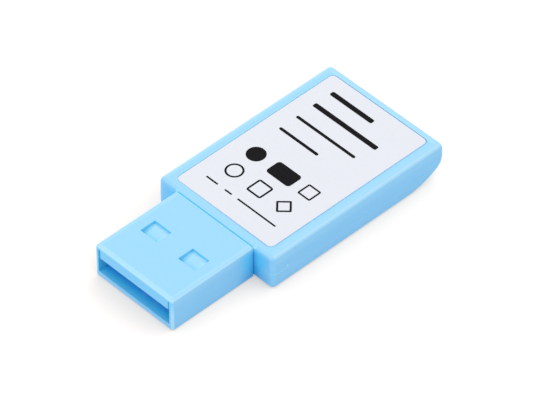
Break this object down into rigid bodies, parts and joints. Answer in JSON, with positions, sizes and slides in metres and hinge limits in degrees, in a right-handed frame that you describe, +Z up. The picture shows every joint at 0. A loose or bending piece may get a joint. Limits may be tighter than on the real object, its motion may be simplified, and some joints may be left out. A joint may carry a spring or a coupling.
{
  "type": "smart home usb radio stick",
  "caption": "Slim smart home radio stick: a light blue plastic USB-A plug on a flat body that sweeps up at the tail, with a recessed label on top and a radio board inside.",
  "frame": {"origin": "under the middle of the stick, on the underside that it lies on", "axes": "+Y from the plug's tip to the tail, +Z up out of the label, X across"},
  "size_m": [0.018, 0.038, 0.0046],
  "materials": {
    "bottom_shell": "fine satin, light blue",
    "top_shell": "fine satin, light blue",
    "plug_sleeve": "fine satin, light blue",
    "contact_carrier": "fine satin, light blue",
    "contact_strip": "gold-flashed strip",
    "circuit_board": "green solder mask on glass laminate",
    "label": "printed film, nearly white",
    "voltage_regulator": "moulded case, tinned leads",
    "surge_protector": "moulded case, tinned leads",
    "radio_chip": "moulded case",
    "serial_bridge_chip": "moulded case",
    "radio_crystal": "metal lid",
    "chip_antenna": "ceramic with silvered ends",
    "ferrite_bead": "sintered ferrite, tinned ends",
    "capacitors": "ceramic, tinned ends",
    "resistors": "glazed film, tinned ends",
    "matching_inductors": "ceramic, tinned ends"
  },
  "bodies": {
    "root": {"bottom_shell": "bottom_shell", "top_shell": "top_shell", "plug_sleeve": "plug_sleeve", "contact_carrier": "contact_carrier", "contact_power": "contact_strip", "contact_data_minus": "contact_strip", "contact_data_plus": "contact_strip", "contact_ground": "contact_strip", "circuit_board": "circuit_board", "label": "label", "voltage_regulator": "voltage_regulator", "surge_protector": "surge_protector", "radio_chip": "radio_chip", "serial_bridge_chip": "serial_bridge_chip", "radio_crystal": "radio_crystal", "chip_antenna": "chip_antenna", "ferrite_bead": "ferrite_bead", "capacitors": "capacitors", "resistors": "resistors", "matching_inductors": "matching_inductors"}
  },
  "joints": []
}
